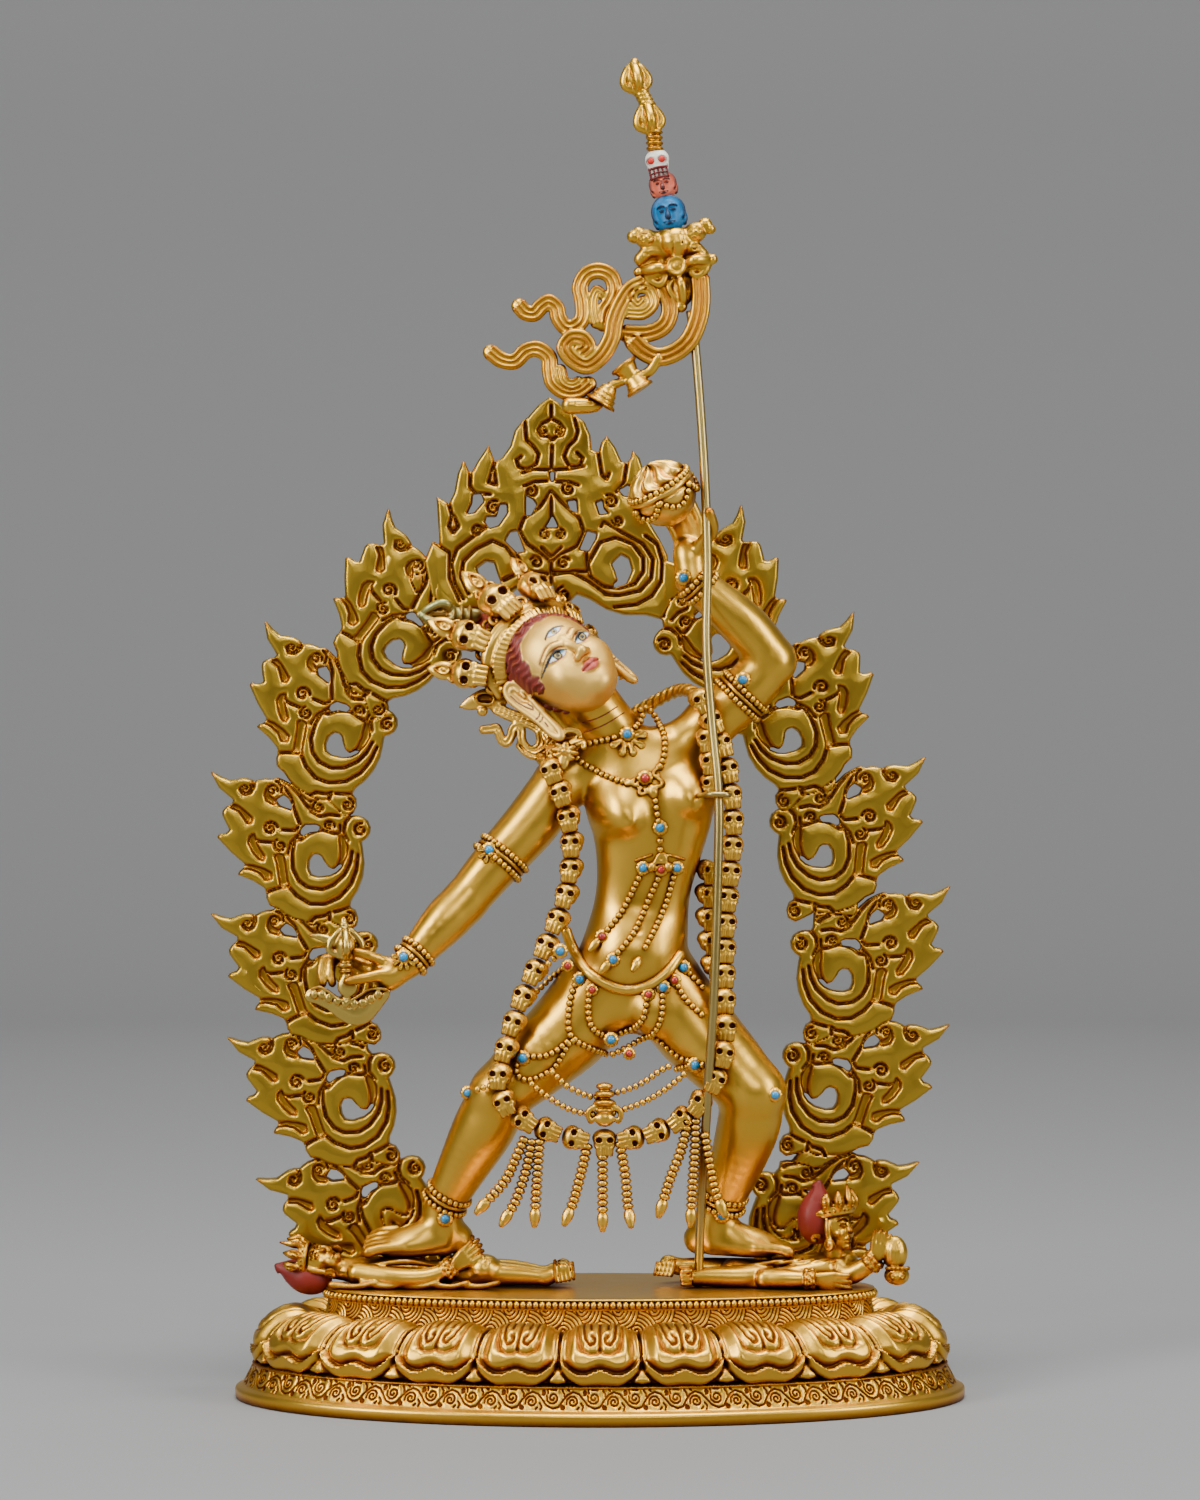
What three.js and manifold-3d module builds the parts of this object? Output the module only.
// Gilt standing Vajrayogini on an oval lotus base, before a pierced flame aureole.
// Millimetres, +Z up, the viewer's right is +X and the back is +Y.
// The origin is the middle of the base's underside.
import * as THREE from 'three';
import { mergeVertices } from 'three/addons/utils/BufferGeometryUtils.js';
import Module from 'manifold-3d';

const wasm = await Module();
wasm.setup();

// Driving dimensions.
const PLATFORM = { halfWidth: 86, halfDepth: 31, top: 34.5 };
const PETALS = 20;
const FIT = 0.3; // the gap kept between two castings that touch
const PLATE = { front: 19.5, thickness: 4 };

// Finishes.
const finish = (color, roughness, metalness) => new THREE.MeshStandardMaterial({ color, roughness, metalness });
const GILT = finish(0xd9a441, 0.32, 1);
const ROD = finish(0xc9ad6a, 0.35, 1);
const TURQUOISE = finish(0x1d9ec4, 0.4, 0);
const CORAL = finish(0xb8301f, 0.4, 0);

const vector = ([x, y, z]) => new THREE.Vector3(x, y, z);

// A solid from corner positions and triangles, turned so that its faces point outwards.
function solid(corners, triangles) {
  const vertProperties = new Float32Array(corners.flatMap((c) => c.toArray()));
  const make = (list) => new wasm.Manifold(
    new wasm.Mesh({ numProp: 3, vertProperties, triVerts: new Uint32Array(list.flat()) }),
  );
  const made = make(triangles);
  return made.volume() > 0 ? made : make(triangles.map(([a, b, c]) => [a, c, b]));
}

// A solid from one of three.js's own closed geometries.
function fromGeometry(geometry) {
  const bare = geometry.clone();
  bare.deleteAttribute('normal');
  bare.deleteAttribute('uv');
  const merged = mergeVertices(bare, 1e-4);
  const place = merged.getAttribute('position');
  const corners = Array.from({ length: place.count }, (_, i) => new THREE.Vector3().fromBufferAttribute(place, i));
  const index = merged.index.array;
  const triangles = [];
  for (let i = 0; i < index.length; i += 3) triangles.push([index[i], index[i + 1], index[i + 2]]);
  return solid(corners, triangles);
}

function geometryOf(shape) {
  const mesh = shape.getMesh();
  const corners = new Float32Array(mesh.numVert * 3);
  for (let i = 0; i < mesh.numVert; i += 1) {
    for (let k = 0; k < 3; k += 1) corners[i * 3 + k] = mesh.vertProperties[i * mesh.numProp + k];
  }
  const geometry = new THREE.BufferGeometry();
  geometry.setAttribute('position', new THREE.BufferAttribute(corners, 3));
  geometry.setIndex(Array.from(mesh.triVerts));
  return geometry;
}

const join = (shapes) => shapes.reduce((whole, next) => whole.add(next));

// A closed skin through elliptical stations [x, y, z, half width, half depth].
// The half depth is measured along the given depth direction, as near as the path allows.
function limb(stations, { sides = 8, depth = [0, 1, 0], grow = 0, tip = 0.55 } = {}) {
  const centres = stations.map(vector);
  const corners = [];
  const last = stations.length - 1;
  const along = (i) => centres[Math.min(i + 1, last)].clone().sub(centres[Math.max(i - 1, 0)]).normalize();
  stations.forEach(([, , , wide, deep = wide], i) => {
    const path = along(i);
    const back = vector(depth).addScaledVector(path, -vector(depth).dot(path)).normalize();
    const side = new THREE.Vector3().crossVectors(path, back);
    for (let j = 0; j < sides; j += 1) {
      const turn = (2 * Math.PI * j) / sides;
      corners.push(centres[i].clone()
        .addScaledVector(side, (wide + grow) * Math.cos(turn))
        .addScaledVector(back, (deep + grow) * Math.sin(turn)));
    }
  });
  const pole = (i, sense) => {
    const [, , , wide, deep = wide] = stations[i];
    return centres[i].clone().addScaledVector(along(i), sense * (tip * Math.min(wide, deep) + grow));
  };
  const first = corners.push(pole(0, -1)) - 1;
  const end = corners.push(pole(last, 1)) - 1;
  const triangles = [];
  for (let j = 0; j < sides; j += 1) {
    const next = (j + 1) % sides;
    for (let i = 0; i < last; i += 1) {
      const [a, b, c, d] = [i * sides + j, i * sides + next, (i + 1) * sides + next, (i + 1) * sides + j];
      triangles.push([a, b, c], [a, c, d]);
    }
    triangles.push([first, next, j], [end, last * sides + j, last * sides + next]);
  }
  return solid(corners, triangles);
}

// A rounded lump with three half sizes along the given directions.
function lump(centre, [a, b, c], { along = [1, 0, 0], up = [0, 0, 1], detail = 0, grow = 0 } = {}) {
  const x = vector(along).normalize();
  const z = vector(up).addScaledVector(x, -vector(up).dot(x)).normalize();
  const y = new THREE.Vector3().crossVectors(z, x);
  const frame = new THREE.Matrix4().makeBasis(
    x.multiplyScalar(a + grow), y.multiplyScalar(b + grow), z.multiplyScalar(c + grow),
  );
  return fromGeometry(new THREE.IcosahedronGeometry(1, detail).applyMatrix4(frame.setPosition(vector(centre))));
}

function block([x0, y0, z0], [x1, y1, z1]) {
  const box = new THREE.BoxGeometry(x1 - x0, y1 - y0, z1 - z0);
  return fromGeometry(box.translate((x0 + x1) / 2, (y0 + y1) / 2, (z0 + z1) / 2));
}

// Points of an open path, rounded off between the ones given.
function smooth(points, steps) {
  const curve = new THREE.CatmullRomCurve3(points.map(vector));
  return curve.getPoints(steps).map((p) => p.toArray());
}

// Lotus base: an oval foot, a chased step, a ring of petals, a neck and the platform.
// Every level gives [spread, height] at the clefts between petals and then at their shoulders.
const LEVELS = [
  [28.5, 0, 28.5, 0], [29, 4.2, 29, 4.2], [26, 4.9, 26, 4.9], [23, 10.6, 23, 10.6], [19.4, 12.6, 22.8, 12.4],
  [16.4, 20, 20.8, 19], [8, 23, 12.6, 26], [0.8, 24.4, 1.2, 24.4],
  [-0.4, 31, -0.4, 31], [1, 31.8, 1, 31.8], [0.8, PLATFORM.top, 0.8, PLATFORM.top],
];
const PETAL_COLUMNS = [-0.5, -0.24, 0.24]; // cleft and two shoulders, as shares of a petal

// The angle on the oval at a share of its length, so that the petals come out equally wide.
function ovalTurns(shares) {
  const steps = 720;
  const [a, b] = [PLATFORM.halfWidth + 13, PLATFORM.halfDepth + 13];
  const turnAt = (k) => (2 * Math.PI * k) / steps - Math.PI / 2;
  const lengths = [0];
  for (let k = 1; k <= steps; k += 1) {
    const [here, before] = [turnAt(k), turnAt(k - 1)];
    const step = Math.hypot(a * (Math.cos(here) - Math.cos(before)), b * (Math.sin(here) - Math.sin(before)));
    lengths.push(lengths[k - 1] + step);
  }
  return shares.map((share) => {
    const wanted = (((share % 1) + 1) % 1) * lengths[steps];
    return turnAt(lengths.findIndex((length) => length >= wanted));
  });
}

function lotusBase() {
  const shares = Array.from({ length: PETALS }, (_, k) => PETAL_COLUMNS.map((part) => (k + part) / PETALS)).flat();
  const turns = ovalTurns(shares);
  const columns = turns.length;
  const corners = [];
  LEVELS.forEach(([cleftSpread, cleftHeight, spread, height]) => turns.forEach((turn, j) => {
    const [out, z] = j % PETAL_COLUMNS.length === 0 ? [cleftSpread, cleftHeight] : [spread, height];
    corners.push(new THREE.Vector3(
      (PLATFORM.halfWidth + out) * Math.cos(turn),
      (PLATFORM.halfDepth + out) * Math.sin(turn),
      z,
    ));
  }));
  const last = LEVELS.length - 1;
  const under = corners.push(new THREE.Vector3(0, 0, 0)) - 1;
  const over = corners.push(new THREE.Vector3(0, 0, PLATFORM.top)) - 1;
  const triangles = [];
  for (let j = 0; j < columns; j += 1) {
    const next = (j + 1) % columns;
    for (let i = 0; i < last; i += 1) {
      const [c, d] = [i * columns + j, i * columns + next];
      triangles.push([c, d, d + columns], [c, d + columns, c + columns]);
    }
    triangles.push([under, next, j], [over, last * columns + j, last * columns + next]);
  }
  return solid(corners, triangles);
}

// Flame aureole: a flat cast plate of scroll units, pierced right through.
// A unit is drawn about the eye of its scroll, [outwards, up], with its five tongues of flame on the outside.
const UNIT = [
  [39.7, 24.1], [28.5, 20.6], [22.5, 23.6], [14, 25], [2, 21.6], [-8.3, 20], [-12, 17.4], [-9.6, 11.6],
  [-12.4, -8], [-16.8, -10.6], [-15.6, -15.4], [-10, -18.4], [10.6, -14.4], [25.4, -7.6], [22.8, -4.8],
  [33.5, 1.1], [29.6, 3.4], [34.6, 10.8], [26.8, 8], [34.2, 16.6],
];
const EYE = [[5.2, 2.6], [-4.6, 5.6], [-5, -0.4], [-0.4, -3.9], [4, -2]];
const WINDOWS = [
  EYE,
  [[9.9, 11], [4.6, 14.2], [4, 10], [8.2, 7.8]],
  [[19.2, 10.7], [12.4, 6.2], [14.4, 3.7]],
  [[25, 4.8], [21.6, 4.6], [19.4, -1]],
];
// Where the eyes lie, [across, up, turn in degrees]; the real plate leans a little to the viewer's left.
const LEFT_UNITS = [
  [-66.9, 51.9, -14], [-80.5, 87, 0], [-86.3, 126, 1], [-91.1, 165, 11], [-85.8, 204.1, 30], [-66.9, 234.9, 57],
];
const RIGHT_UNITS = [
  [62.7, 48.6, -2], [73.6, 90.5, 1], [78.6, 128.4, 11], [72.5, 168.1, 14], [62.7, 205.7, 34], [39.7, 236.4, 51],
];
// The crest over the top, right half, from the middle and the platform; it follows the plate's lean.
const LEAN = { middle: -1.5, sideways: 0.05, rise: 0.012 };
const CREST = [
  [0, 281], [7.7, 275.6], [12.2, 267], [15.6, 259.4], [19.6, 269], [22.6, 256.6], [27.4, 263.4], [28.6, 252], [35.4, 249.4],
  [33.4, 240], [38.4, 234], [38, 220], [44, 210], [36, 206], [26, 210], [19, 215.6], [9, 218.6], [8, 213], [0, 212],
];
const CREST_WINDOWS = [
  [[25.4, 221.6], [26.6, 228], [21.6, 231.6], [16.4, 228], [19.6, 224]],
  [[3.6, 236.6], [7.6, 240], [9.4, 232.6]],
  [[11, 225], [14.4, 233], [9.6, 232]],
  [[18.6, 237], [22.6, 244.4], [15.4, 244]],
];
const HEART_WINDOW = [[-2.6, 239], [0, 244.4], [2.6, 239]];
const FOOT = [[49, 0], [56, 24], [62, 30], [70, 24], [68, 14], [80, 10], [78, 0]];

// Plate points from [from the middle, above the platform], leaning as the real one does.
const lean = ([u, v]) => [LEAN.middle + u - LEAN.sideways * v, PLATFORM.top + FIT + v + LEAN.rise * u];

function plateFrom(outline, windows = []) {
  const path = (points) => points.map(([x, z]) => new THREE.Vector2(x, z));
  const edge = path(outline);
  const shape = new THREE.Shape(THREE.ShapeUtils.isClockWise(edge) ? edge.reverse() : edge);
  shape.holes = windows.map((points) => new THREE.Path(path(points)));
  const slab = new THREE.ExtrudeGeometry(shape, { depth: PLATE.thickness, bevelEnabled: false });
  return fromGeometry(slab.rotateX(Math.PI / 2).translate(0, PLATE.front + PLATE.thickness, 0));
}

function flameAureole() {
  const plates = [];
  const placer = (side, [x, z, degrees]) => {
    const turn = THREE.MathUtils.degToRad(degrees);
    const [c, s] = [Math.cos(turn), Math.sin(turn)];
    return ([u, v]) => [x + side * (u * c - v * s), z + u * s + v * c];
  };
  [[-1, LEFT_UNITS], [1, RIGHT_UNITS]].forEach(([side, chain]) => {
    const places = chain.map((unit) => placer(side, unit));
    places.forEach((place, i) => {
      plates.push(plateFrom(UNIT.map(place), WINDOWS.map((points) => points.map(place))));
      // A strap carries each unit on the one below.
      if (i > 0) {
        const before = places[i - 1];
        plates.push(plateFrom([before([7, 15.4]), before([-8, 15.4]), place([-7, -12]), place([7, -12])]));
      }
    });
  });
  const mirrored = (points, side) => points.map(([u, v]) => lean([side * u, v]));
  [[-1, LEFT_UNITS.at(-1)], [1, RIGHT_UNITS.at(-1)]].forEach(([side, last]) => {
    const place = placer(side, last);
    plates.push(plateFrom([place([20, 14]), place([-8, 15.4]), ...mirrored([[32, 209], [35, 234]], side)]));
  });
  const crest = [...mirrored(CREST, 1), ...mirrored(CREST.slice(1, -1), -1).reverse()];
  const windows = [1, -1].flatMap((side) => CREST_WINDOWS.map((points) => mirrored(points, side)));
  plates.push(plateFrom(crest, [...windows, mirrored(HEART_WINDOW, 1)]));
  [1, -1].forEach((side) => plates.push(plateFrom(mirrored(FOOT, side))));
  const far = 200;
  const below = block([-far, 0, -far], [far, far, PLATFORM.top + FIT]);
  return join(plates).subtract(below);
}

// The figure's joints, in the base's frame.
const BODY = {
  pelvis: [8.2, 4, 129], waist: [13.4, 2, 158], chest: [15.2, 0, 184], collar: [11, 2, 203], neck: [3.4, 2, 213],
  nape: [-4, 1, 221], head: [-15.5, -1, 234.5],
  nearHip: [-3, 4, 122], nearKnee: [-31, -3, 95.5], nearAnkle: [-50, 8, 59],
  farHip: [21, 4, 123], farKnee: [48, -5, 96], farAnkle: [37.6, 8, 58.5],
  lowShoulder: [-14.5, 1, 190], lowElbow: [-42.5, -5, 155.5], lowWrist: [-59.5, -11, 137],
  highShoulder: [36, 3, 213], highElbow: [54.5, 1, 232], highWrist: [28.6, -4, 256.5],
};
const SOLE = 43.6; // height of both soles, which stand on the two bodies below
const HEAD = { up: [-0.73, 0.06, 0.68], face: [0.46, -0.74, 0.5] };

// A leg bulges at the thigh and calf; each is a share of the way with half width and half depth.
function leg(hip, knee, ankle, grow) {
  const between = (a, b, t) => vector(a).lerp(vector(b), t).toArray();
  return limb([
    [...between(hip, knee, -0.15), 13, 12.5], [...between(hip, knee, 0.3), 13.2, 12.6],
    [...between(hip, knee, 0.7), 10.6, 10.6], [...between(knee, ankle, 0), 9.4, 9.8],
    [...between(knee, ankle, 0.3), 9.9, 9.6], [...between(knee, ankle, 0.7), 7.4, 7.6],
    [...between(knee, ankle, 0.95), 6, 6.6], [...between(knee, ankle, 1.15), 6.4, 7],
  ], { sides: 7, grow });
}

// A foot runs from the heel to the toes, flat underneath.
function foot(heel, toes, grow) {
  const at = (t) => vector(heel).lerp(vector(toes), t).toArray();
  const stations = [[0, 5.4, 5.4], [0.3, 5.8, 6.6], [0.7, 6.6, 4.2], [1, 5.2, 2.4]]
    .map(([t, wide, tall]) => {
      const [x, y] = at(t);
      return [x, y, SOLE + tall * 0.86, tall, wide];
    });
  return limb(stations, { sides: 6, grow, tip: 0.3 })
    .subtract(block([-120, -60, 0], [120, 60, SOLE - grow]));
}

function arm(shoulder, elbow, wrist, sizes, grow) {
  const between = (a, b, t) => vector(a).lerp(vector(b), t).toArray();
  return limb([
    [...between(shoulder, elbow, -0.25), sizes[0] * 1.1], [...between(shoulder, elbow, 0.35), sizes[0]],
    [...between(shoulder, elbow, 0.8), sizes[1]], [...elbow, sizes[1]],
    [...between(elbow, wrist, 0.3), sizes[1] * 0.98], [...between(elbow, wrist, 0.75), sizes[2] * 1.15],
    [...between(elbow, wrist, 1.05), sizes[2]],
  ], { sides: 6, grow });
}

// Places a point of the head by [sideways, forwards, upwards] from the head's middle.
const headUp = vector(HEAD.up).normalize();
const headFace = vector(HEAD.face).addScaledVector(headUp, -vector(HEAD.face).dot(headUp)).normalize();
const headSide = new THREE.Vector3().crossVectors(headFace, headUp);
const onHead = ([side, face, up]) => vector(BODY.head)
  .addScaledVector(headSide, side).addScaledVector(headFace, face).addScaledVector(headUp, up).toArray();

function head(grow) {
  const skullStations = [
    [-15, 7.5, 3.6, 3.4], [-12, 5, 7.4, 7], [-6, 2, 10.6, 10.8], [1, 0.6, 12, 13], [8, -0.5, 11.8, 13], [14, -1.5, 8.6, 9.6],
  ].map(([up, face, wide, deep]) => [...onHead([0, face, up]), wide, deep]);
  const depth = headFace.toArray();
  const run = (points, sides = 4, tip = 0.55) => limb(
    points.map(([side, face, up, ...sizes]) => [...onHead([side, face, up]), ...sizes]),
    { sides, depth, grow, tip },
  );
  const pieces = [
    limb(skullStations, { sides: 8, depth, grow }),
    run([[0, 12.6, 0, 1], [0, 14.6, -5.2, 2.2]]), // nose
    run([[0, -2, 5.6, 13.4, 14.4], [0, -2, 10.5, 14, 15]], 10, 0), // crown band
    run([[0, -5, 13, 7.4], [0, -7, 23, 6], [0, -8, 29, 2.4]], 5), // topknot
  ];
  // Five skulls with jewelled tips stand round the band.
  [-76, -38, 0, 38, 76].forEach((degrees) => {
    const turn = THREE.MathUtils.degToRad(degrees);
    const out = (distance, up) => [Math.sin(turn) * distance, -2 + Math.cos(turn) * distance * 1.05, up];
    pieces.push(run([[...out(10.6, 9), 2], [...out(14.8, 15.4), 4.2], [...out(14.4, 26), 0.8]]));
  });
  // Long ears, each with a rosette below and a looped ribbon that flutters out behind.
  [-1, 1].forEach((side) => {
    const at = ([out, ...rest]) => [side * out, ...rest];
    pieces.push(run([[12, -1, 3, 2.2, 3.2], [13, 0, -5, 2, 2.8], [12.8, 1.2, -16, 4.4, 4.4]].map(at), 5));
    pieces.push(run([[14, -3, 6, 2.6], [19.4, -3, 1, 2.4], [15.4, -1, -16, 2.2], [26.4, -1, -4, 1.4]].map(at)));
  });
  return join(pieces);
}

// A closed hand: a palm with four fingers wrapped one way and a thumb the other.
function hand(wrist, palm, knuckles, tips, thumb, grow) {
  return join([
    limb([[...wrist, 4.6], [...palm, 5.4, 4.2], [...knuckles, 4.8, 4]], { sides: 6, grow }),
    limb([[...knuckles, 4.2, 3.4], [...tips, 3, 2.6]], { sides: 4, grow }),
    limb([[...palm, 2.4], [...thumb, 1.7]], { sides: 4, grow, tip: 0 }),
  ]);
}

function body(grow) {
  const torso = limb([
    [...BODY.pelvis.slice(0, 2), 114, 9, 8], [7.6, 4, 122, 18, 12], [8.4, 4, 132, 18.6, 12.4], [11, 3, 143, 16.4, 11.4],
    [13.4, 2, 157, 14.8, 10], [15.4, 1, 170, 16.6, 11], [16, 0.5, 182, 20, 12.4], [15.6, 1, 194, 22, 12],
    [13.4, 2, 204, 18.4, 9.6], [8, 2, 211, 10, 8],
  ], { sides: 10, grow });
  const neck = limb([[9, 2, 205, 9.6, 8.6], [2.4, 2, 214, 8.6, 8], [-6, 0.5, 223, 8.6, 8.4]], { sides: 8, grow });
  const bust = [[5.4, 184.6], [28.2, 189.8]].map(([x, z]) => limb(
    [[x, -6, z, 8.8], [x, -13, z, 7.2], [x, -16.6, z, 3]],
    { sides: 7, depth: [0, 0, 1], grow, tip: 0.2 },
  ));
  const nearShoulder = limb([[16, 2, 198, 10, 9], [...BODY.lowShoulder, 9, 8.6]], { sides: 6, grow });
  const farShoulder = limb([[18, 2, 200, 10, 9], [30, 3, 207, 9.4, 9], [...BODY.highShoulder, 8.6, 8.4]], { sides: 6, grow });
  return join([
    torso, neck, ...bust, nearShoulder, farShoulder, head(grow),
    arm(BODY.lowShoulder, BODY.lowElbow, BODY.lowWrist, [8, 7.2, 4.6], grow),
    arm(BODY.highShoulder, BODY.highElbow, BODY.highWrist, [8.6, 8, 5], grow),
    hand(BODY.lowWrist, [-67, -13, 131.5], [-72, -14, 129], [-78, -13, 128], [-76.5, -15, 134], grow),
    hand(BODY.highWrist, [27, -5, 265], [23.5, -4, 272.5], [15, -5, 287], [34, -8, 279], grow),
    leg(BODY.nearHip, BODY.nearKnee, BODY.nearAnkle, grow),
    leg(BODY.farHip, BODY.farKnee, BODY.farAnkle, grow),
    foot([-47.6, 8, 0], [-74, 2, 0], grow), foot([33, 8, 0], [58.6, 3, 0], grow),
  ]);
}

// What is cast on the body: armlets, bangles, anklets, the girdle and the hair behind.
const GIRDLE = [
  [[-11, 140], [-5, 133], [3, 129], [12, 128.4], [20, 131.4], [26, 137]],
  [[-8, 133], [-17, 116], [-37, 99]], [[24, 131], [34, 115], [52, 99]], [[0, 130], [0.6, 117], [9.4, 107], [18, 118], [19, 130]],
];

function dress(drape) {
  const strand = (points, radius) => {
    return limb(points.map(([x, z]) => [x, drape(x, z, -8), z, radius]), { sides: 4, tip: 0.4 });
  };
  const along = (a, b, t) => vector(a).lerp(vector(b), t).toArray();
  const cuff = (a, b, from, to, radius) => limb(
    [[...along(a, b, from), radius], [...along(a, b, to), radius]],
    { sides: 6, tip: 0 },
  );
  const cuffs = [
    cuff(BODY.lowShoulder, BODY.lowElbow, 0.5, 0.64, 9.2), cuff(BODY.lowElbow, BODY.lowWrist, 0.94, 1.14, 6.2),
    cuff(BODY.highShoulder, BODY.highElbow, 0.1, 0.36, 10), cuff(BODY.highElbow, BODY.highWrist, 0.86, 1.04, 6.6),
    cuff(BODY.nearKnee, BODY.nearAnkle, 0.9, 1.06, 8.2), cuff(BODY.farKnee, BODY.farAnkle, 0.9, 1.06, 8.2),
  ];
  const hair = limb([[-7, 9, 216, 7, 4], [2, 12, 206, 9, 3.6], [9, 12.4, 194, 9.4, 3], [13, 11, 180, 7, 2.4]], { sides: 6 });
  return join([...cuffs, ...GIRDLE.map((points, i) => strand(points, i === 0 ? 2 : 1.5)), hair]);
}

// Skull garland: one casting that hangs from both shoulders and loops below the knees.
// Each entry is the middle of a skull, [across, up, depth where nothing lies behind it].
const GARLAND = [
  [-15, 197, -6], [-12, 190, -8], [-9.6, 182, -8], [-8.6, 174, -7], [-8.8, 166, -7], [-10.2, 158, -7], [-13, 150, -8], [-16.4, 142, -9],
  [-20, 134, -11], [-23.6, 126, -13], [-26.6, 118, -14], [-29, 110, -14], [-31, 102, -14], [-29.6, 94, -14], [-24, 88.4, -14], [-16.6, 85, -14],
  [-8, 82.4, -14], [1.4, 81.4, -14], [10, 82.4, -14], [18, 84.6, -14], [25.4, 88.4, -14], [31, 93.6, -14], [35.6, 101, -14], [38, 109, -15],
  [38.8, 117, -15], [38.6, 125, -14], [38.6, 133, -12], [38.8, 141, -10], [39, 149, -9], [39.6, 157, -8], [40.4, 165, -8], [41, 173, -8],
  [41.2, 181, -8], [40.6, 189, -8], [39.6, 197, -7], [37.6, 205, -6], [33.4, 213, -6],
];
const NAPE = [[29, -2, 221], [24, 7, 221.6], [16, 12.4, 217.6], [6, 15.4, 212], [-5, 15.4, 206.6], [-15, 11, 203.6], [-20, 1, 203]];
const APRON = [[-30, 102], [-18, 93], [-4, 88], [9, 87], [22, 91], [36, 102]];
const BUNCHES = [[-17.4, 82], [2, 79], [30.6, 88]]; // where the tassels hang, three together

function skullGarland(drape, cut) {
  const centres = GARLAND.map(([x, z, y]) => [x, Math.min(drape(x, z, y), y + 3) - 4.4, z]);
  const middle = (a, b) => a.map((value, k) => (value + b[k]) / 2);
  const skulls = centres.flatMap((centre, i) => {
    const link = i > 0 ? [[...middle(centres[i - 1], centre), 2.1, 1.7]] : [];
    return [...link, [...centre, 3.8, 2.8]];
  });
  const rope = [centres.at(-1), ...NAPE, centres[0]].map((p) => [...p, 2.2]);
  const apron = APRON.map(([x, z]) => [x, -16, z, 1.5]);
  const tassels = BUNCHES.flatMap(([x, z]) => [-1, 0, 1].map((side) => limb([
    [x + side * 2.8, -17, z + 2.4, 1.8], [x + side * 9.4 - 2, -16, z - 27 + Math.abs(side), 2.3],
  ], { sides: 4, tip: 1 })));
  return join([
    limb(skulls, { sides: 4, tip: 0.8 }), limb(rope, { sides: 4, depth: [0, 0, 1] }), limb(apron, { sides: 4 }), ...tassels,
  ]).subtract(cut);
}

// Staff: a thin rod that stands on the platform and bends past the body.
const STAFF = [
  [30.8, -3, PLATFORM.top + FIT], [31.6, -9, 62], [33.4, -17, 96], [35.2, -21.6, 128], [36.4, -22.6, 165], [36.6, -22, 189],
  [34.6, -19, 212], [33, -17, 236], [33.4, -14, 262], [32.4, -12, 292], [30, -10.4, 326],
];
const ROD_RADIUS = 1.4;
function staffRod(grow) {
  const run = smooth(STAFF, 11);
  return limb(run.map((p) => [...p, ROD_RADIUS]), { sides: 6, grow, tip: 0 });
}

// Finial: a crossed vajra and bowl with three heads, a long vajra above and ribbons blown to one side.
const FINIAL = { foot: [27, -10, 341], top: [10.8, -10, 419.6] };
// The stem's stations: [share of the way up, radius].
const STEM = [
  [0, 3.4], [0.13, 3.4], [0.17, 5.6], [0.24, 6], [0.29, 3.6], [0.36, 4.8], [0.43, 3], [0.5, 3.7], [0.55, 2.4], [0.62, 3],
  [0.7, 2], [0.78, 4.2], [0.84, 2.2], [0.92, 4.2], [0.99, 1],
];
// Ribbons and bells in the plane of the finial, [across, up, half width].
const RIBBONS = [
  [[31, 356, 3], [31, 339, 3.2], [25, 327, 3.2], [14, 327.6, 3.2], [9, 333, 3]],
  [[20, 349, 3.4], [19.6, 337.6, 3.6], [7.6, 334.6, 3.4]],
  [[13, 349.4, 2.6], [6.6, 343, 3.4], [3.4, 330, 3.4], [-4, 322.4, 3.4], [-10.4, 325.6, 3], [-7, 331, 2.4]],
  [[3, 341.6, 2.6], [4.6, 350.6, 2.6], [-3.4, 353.6, 2.8], [-6.8, 346, 2.6], [-8.4, 337.4, 2.6], [-14, 343.4, 2.6], [-20, 340, 2.4], [-26, 343.4, 1.2]],
  [[-2, 318.4, 2.8], [-11, 316, 3], [-15.8, 325, 2.8], [-23, 326.6, 2.6], [-35.6, 328.6, 1.4]],
  [[10.4, 329, 2.4], [8, 321, 4], [13.4, 319, 3]],
  [[-9, 310.6, 1.8], [-2, 311.6, 2.4], [2, 313.4, 3.8], [8, 321, 2.2]],
];

function staffFinial(rod) {
  const axis = (t) => vector(FINIAL.foot).lerp(vector(FINIAL.top), t).toArray();
  const stem = limb(STEM.map(([t, radius]) => [...axis(t), radius]), { sides: 6, tip: 0.6 });
  const cross = [[-1, 4], [1, 9]].map(([side, lift]) => limb([
    [24, -11, 354, 5, 3.4], [24 + side * 9, -11, 354 + lift * 0.4, 3.8, 3], [24 + side * 10.4, -11, 360 + lift * 0.7, 2.2, 2],
  ], { sides: 5 }));
  const knot = limb([[25, -11, 350, 3.6, 3], [28, -10.2, 338, 3, 2.6]], { sides: 6 });
  const ribbons = RIBBONS.map((points) => limb(points.map(([x, z, half]) => [x, -10.4, z, half, 2.3]), { sides: 4 }));
  return join([stem, ...cross, knot, ...ribbons]).subtract(rod);
}

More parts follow.
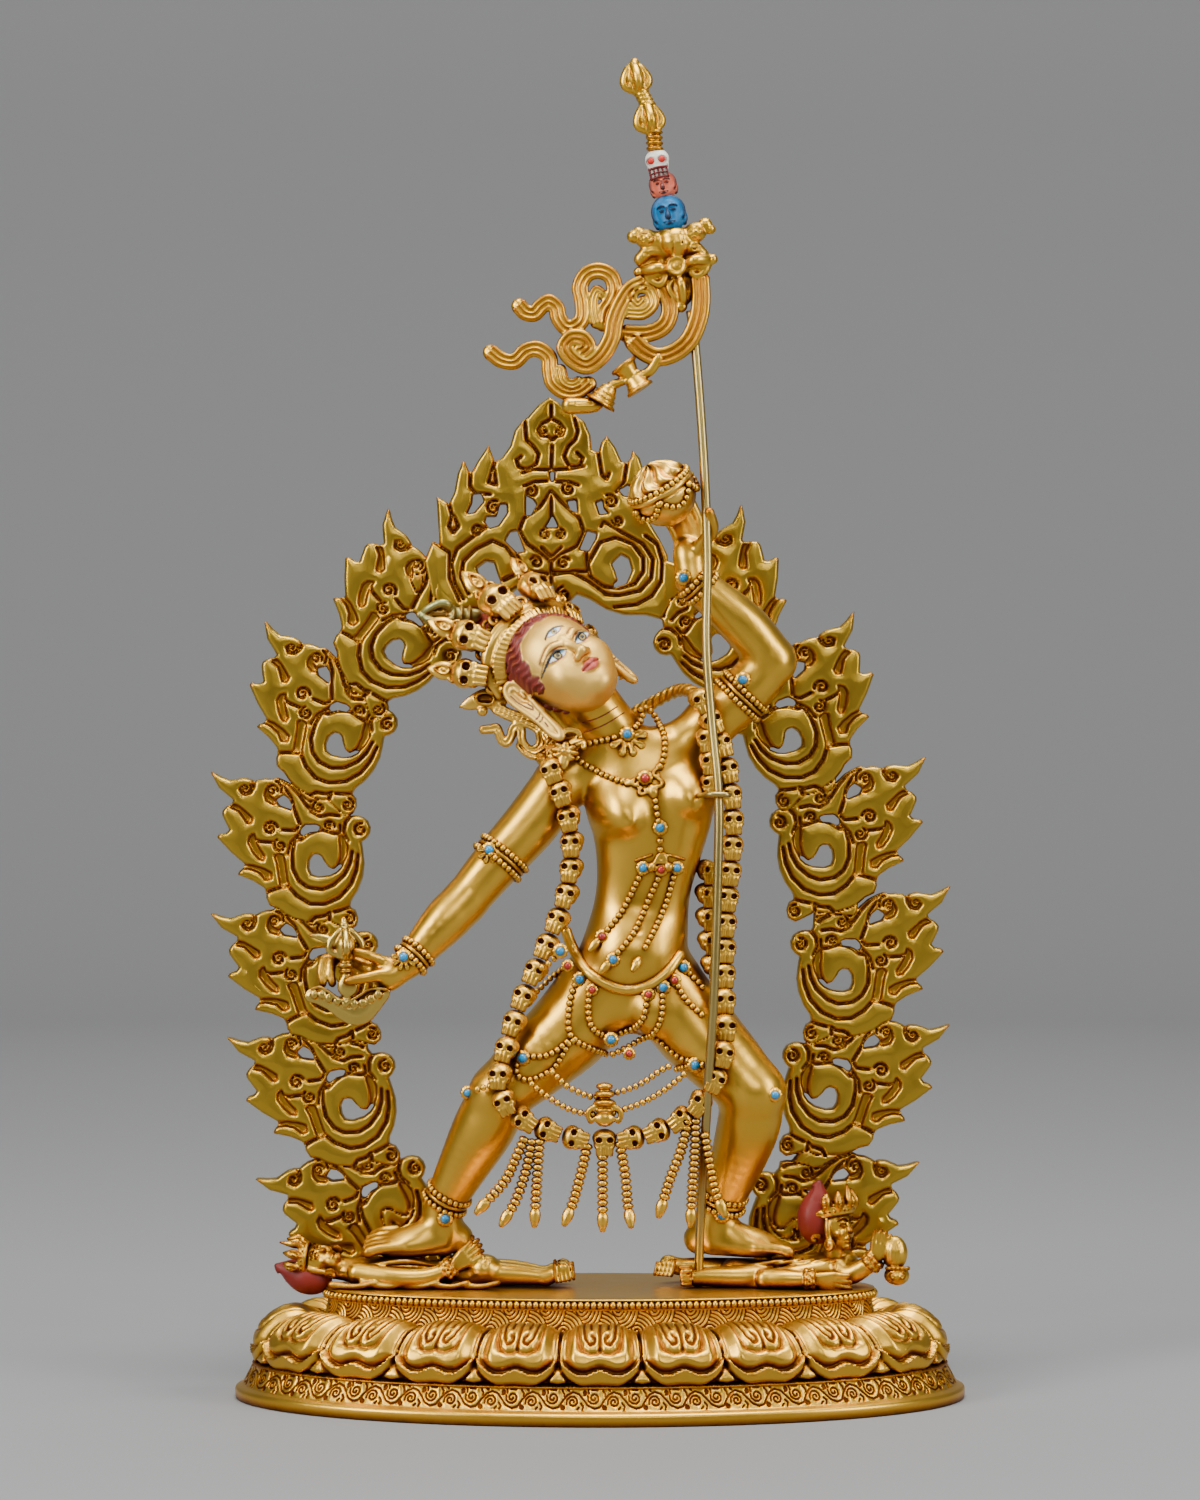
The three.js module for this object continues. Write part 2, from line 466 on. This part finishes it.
// Curved knife in the low hand: a crescent blade hung under a thunderbolt grip.
function curvedKnife(grow) {
  const grip = limb([
    [-80.6, -15, 148.6, 0.8], [-80.4, -15, 145.6, 3.8], [-80, -15, 140, 2.6], [-79.8, -15, 137, 2.8], [-79.4, -15, 133, 2.2], [-79, -15, 127, 2.8],
    [-78.6, -15, 122.6, 3.6], [-78.4, -15, 118, 2],
  ], { sides: 6, grow });
  const blade = [[-94, 120], [-90, 124.6], [-84, 122.8], [-78, 120.8], [-70, 122.6], [-63.6, 124.6], [-64.6, 119], [-70, 112.4], [-76, 110.8], [-86, 115.4]];
  const slab = new THREE.ExtrudeGeometry(
    new THREE.Shape(blade.map(([x, z]) => new THREE.Vector2(x, z))),
    { depth: 3.4 + 2 * grow, bevelEnabled: false },
  );
  const spur = limb([[-81, -15, 142, 2.2], [-88, -15, 143, 1.6], [-92.6, -15, 144, 0.6]], { sides: 6, grow });
  return join([grip, spur, fromGeometry(slab.rotateX(Math.PI / 2).translate(0, -13.4 + grow, 0))]);
}

// Skull cup in the raised hand: a bowl that opens up and away, with its filling heaped over the rim.
const CUP = { middle: [20.6, -10, 281.6], axis: [-0.5, -0.25, 0.83] };
function skullCup(grow) {
  const axis = vector(CUP.axis).normalize();
  const at = (d) => vector(CUP.middle).addScaledVector(axis, d).toArray();
  const shape = [[-8, 4], [-5, 8], [0, 10.2], [4.4, 10.4], [6, 9.6], [9, 6.4], [11.4, 2.6]];
  return limb(shape.map(([d, radius]) => [...at(d), radius]), { sides: 10, grow, tip: 0.3 });
}

// The two bodies underfoot. Both lie along the platform, heads outwards.
const ground = PLATFORM.top + FIT;
function underfoot(pieces, cut) {
  const floor = block([-87.4, -40, 20], [87.4, 40, ground]);
  return join(pieces).subtract(floor).subtract(cut);
}

function nearBody(cut) {
  const low = (x, y, z, wide, deep = wide) => [x, y, ground + z, deep, wide];
  return underfoot([
    limb([low(-80, 3, 4.6, 3.4), low(-74, 3, 4.2, 7, 4.6), low(-62, 3, 4, 7.4, 4.4), low(-50, 3, 3.6, 5.8, 4), low(-42, 3, 3.6, 6.6, 4)], { sides: 5 }),
    limb([low(-44, 1, 3, 3.6), low(-30, -1, 3.6, 3.4), low(-20, -2, 3, 2.6), low(-11, -2, 3.4, 2.4, 3)], { sides: 5 }),
    limb([low(-44, 7, 3, 3.6), low(-30, 6, 3.4, 3.4), low(-18, 5, 3, 2.6), low(-12, 4, 3.2, 2.4, 3)], { sides: 6 }),
    limb([low(-75, -4, 4, 3), low(-60, -7.6, 3, 2.8), low(-46, -6, 4, 2.2), low(-40, -4, 8, 2.4), low(-37, -3, 11, 2)], { sides: 5 }),
    lump([-92, 1, 41.4], [8.6, 7, 6.2], { along: [1, 0, 0.14] }),
    limb([[-98, 1, 37.4, 3.4], [-93, 1, 34.6, 5], [-85, 1, 33, 4], [-82, 1, 36, 3.4]], { sides: 6 }),
    limb([[-97, 1, 44, 2.4], [-101, 1, 45.6, 1.2]], { sides: 6 }),
    limb([[-85, 2, 41, 3.4], [-78, 3, 39.6, 3.6]], { sides: 6 }),
  ], cut);
}

function farBody(cut) {
  const low = (x, y, z, wide, deep = wide) => [x, y, ground + z, deep, wide];
  return underfoot([
    limb([low(76, 4, 6.6, 4), low(70, 4, 5.4, 7, 5), low(60, 4, 4, 7, 4.4), low(48, 4, 3.4, 6, 3.8), low(42, 4, 3.6, 6, 4)], { sides: 6 }),
    limb([low(44, 1, 3.4, 3.6), low(36, 0, 3.4, 3.4), low(33, 2, 3, 2.8), low(26, 4, 3.4, 2.4, 3)], { sides: 6 }),
    limb([low(44, 9, 3.4, 3.6), low(32, 9, 3.4, 3), low(22, 10, 3.2, 2.4, 3)], { sides: 6 }),
    limb([low(73, -3, 4, 3), low(60, -6.4, 2.8, 3), low(70, -8, 2.6, 2.4), low(84, -6, 2.2, 2.6)], { sides: 6 }),
    limb([[78, -2, 40, 3], [86, -6, 39.6, 2.8], [92, -5, 41, 2.6], [92.4, -5, 47, 2.4], [91, -5, 51, 1.4]], { sides: 5 }),
    lump([94, -5, 39.6], [4.4, 3.6, 3.6], {}),
    limb([[74, 4, 40, 3.6], [74.6, 3, 47, 3.6]], { sides: 6 }),
    lump([74.6, 2, 54], [6.6, 6.2, 7.4], {}),
    limb([[72, 2, 58, 4.6, 4], [73, 2, 63, 2.2], [74, 2, 67, 0.8]], { sides: 6 }),
    lump([68.6, 3, 53], [4, 5.4, 6.4], { detail: 0 }),
  ], cut);
}

// Stones: domed cabochons set on the front of the figure and its garland, as [across, up, radius].
const TURQUOISES = [
  [-48.6, 55.4, 1.8], [38.6, 56.6, 1.8], [-41.2, 95.8, 1.6], [-24, 107, 1.8], [-12.2, 140.6, 1.7], [-6.2, 131.4, 1.7], [19.8, 129, 1.7],
  [26.2, 135, 1.7], [3.6, 112.6, 1.7], [29.8, 104.8, 1.8], [54.6, 95.8, 1.6], [-60.8, 138.8, 1.8], [-34.4, 171.8, 1.8], [44.8, 225, 1.8],
  [26.2, 256.8, 1.8], [8.6, 208, 1.7], [18.9, 178.8, 1.7], [13.6, 166.2, 1.6], [24.2, 166.2, 1.6], [4.2, 137.8, 1.6],
];
const CORALS = [
  [14.2, 194.2, 1.8], [19.2, 165.6, 1.5], [0.8, 144.8, 1.6], [13, 140.6, 1.4], [-10, 135.6, 1.4], [-2.4, 128.2, 1.4], [15.2, 126.8, 1.5],
  [23.4, 131.2, 1.5], [9.2, 108.4, 1.4],
];
const STONE = { rise: 1.3 };

// A stone stands just off the nearest metal behind its rim.
function stone(x, z, radius, drape) {
  const probes = Array.from({ length: 8 }, (_, k) => (k * Math.PI) / 4)
    .map((turn) => drape(x + radius * Math.cos(turn), z + radius * Math.sin(turn), Infinity));
  const seat = Math.min(drape(x, z, Infinity), ...probes) - 1.5 * FIT;
  return limb([[x, seat, z, radius], [x, seat - STONE.rise, z, radius * 0.6]], { sides: 5, depth: [0, 0, 1], tip: 0 });
}

// Finds how far back the front of some solids lies at a place across and up.
function draper(shapes) {
  const targets = shapes.map((shape) => new THREE.Mesh(geometryOf(shape), new THREE.MeshBasicMaterial({ side: THREE.DoubleSide })));
  const ray = new THREE.Raycaster();
  return (x, z, fallback) => {
    ray.set(new THREE.Vector3(x, -200, z), new THREE.Vector3(0, 1, 0));
    const [hit] = ray.intersectObjects(targets);
    return hit && hit.point.y < 18 ? hit.point.y : fallback;
  };
}

const bare = body(0);
const clearOfBody = body(FIT);
const knife = curvedKnife(0);
const cup = skullCup(0);
const rod = staffRod(0);
const clearOfRod = staffRod(FIT);
const overBody = draper([bare]);
const worn = dress(overBody);
const figure = join([bare, worn]).subtract(curvedKnife(FIT)).subtract(skullCup(FIT)).subtract(clearOfRod);
const clearOfFigure = clearOfBody.add(worn);
const garland = skullGarland(overBody, clearOfFigure.add(clearOfRod));
const overAll = draper([figure, garland]);

const statue = new THREE.Group();
function place(name, shape, material) {
  const mesh = new THREE.Mesh(geometryOf(shape), material);
  mesh.name = name;
  statue.add(mesh);
}
place('lotus_base', lotusBase(), GILT);
place('flame_aureole', flameAureole(), GILT);
place('figure', figure, GILT);
place('skull_garland', garland, GILT);
place('curved_knife', knife, GILT);
place('skull_cup', cup, GILT);
place('staff_rod', rod, ROD);
place('staff_finial', staffFinial(clearOfRod), GILT);
place('near_trampled_body', nearBody(clearOfFigure), GILT);
place('far_trampled_body', farBody(clearOfFigure.add(clearOfRod)), GILT);
[[TURQUOISES, 'turquoise', TURQUOISE], [CORALS, 'coral', CORAL]].forEach(([stones, kind, material]) => {
  stones.forEach(([x, z, radius], i) => {
    const name = `${kind}_${String(i + 1).padStart(2, '0')}`;
    place(name, stone(x, z, radius, overAll), material);
  });
});

export default statue;
